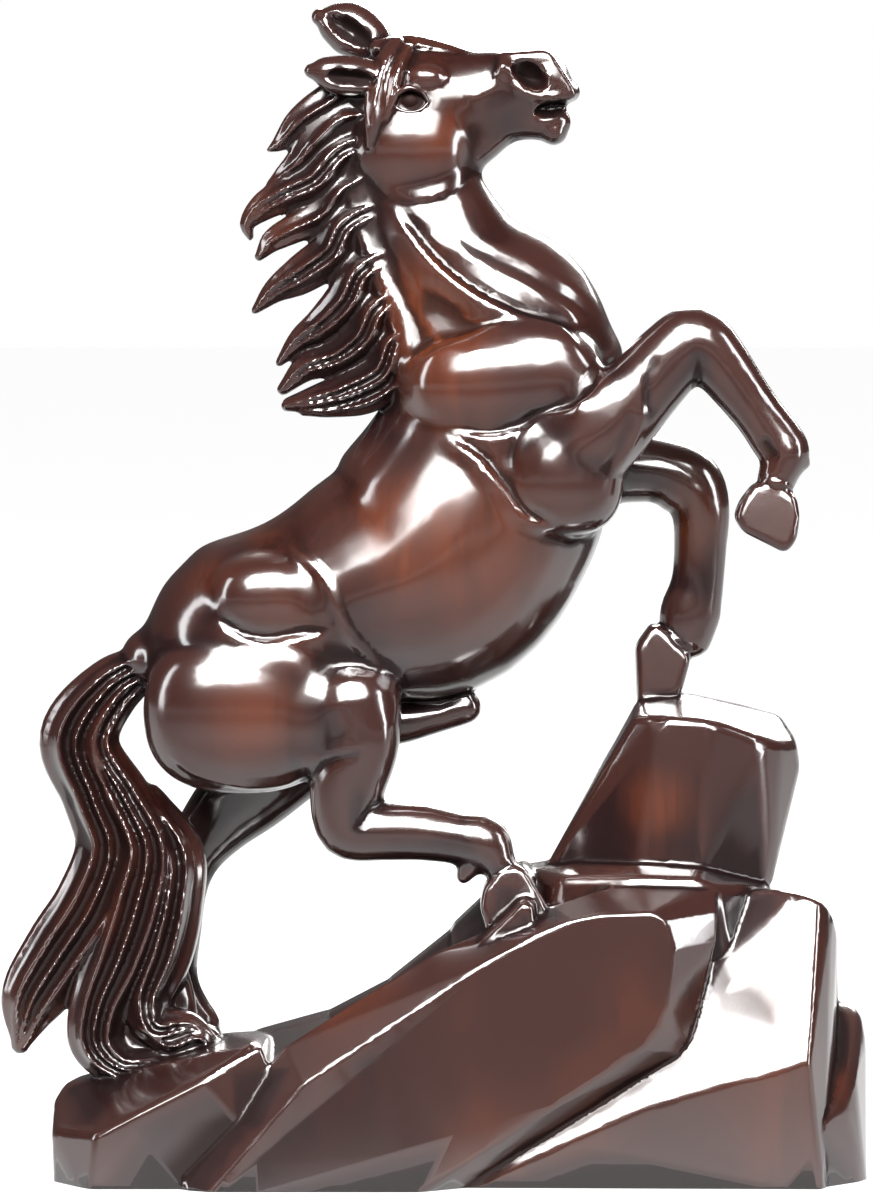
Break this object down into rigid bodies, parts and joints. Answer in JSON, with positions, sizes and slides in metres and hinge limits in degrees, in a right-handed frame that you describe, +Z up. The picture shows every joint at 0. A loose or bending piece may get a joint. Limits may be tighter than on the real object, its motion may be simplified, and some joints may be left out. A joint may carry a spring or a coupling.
{
  "type": "wooden horse statue",
  "caption": "Carved statue of a rearing horse with flowing mane and tail, one forefoot on a tall faceted rock, horse and rock cut from one block of dark polished hardwood.",
  "frame": {"origin": "on the flat underside of the rock, at the middle of the statue's bounding box", "axes": "+Z up, +X towards the horse's head and forelegs, -Y towards the side with the near legs, which the picture shows"},
  "size_m": [0.2986, 0.1056, 0.4],
  "materials": {
    "dark_hardwood": "polished"
  },
  "bodies": {
    "root": {"rearing_horse_and_rock": "dark_hardwood"}
  },
  "joints": []
}
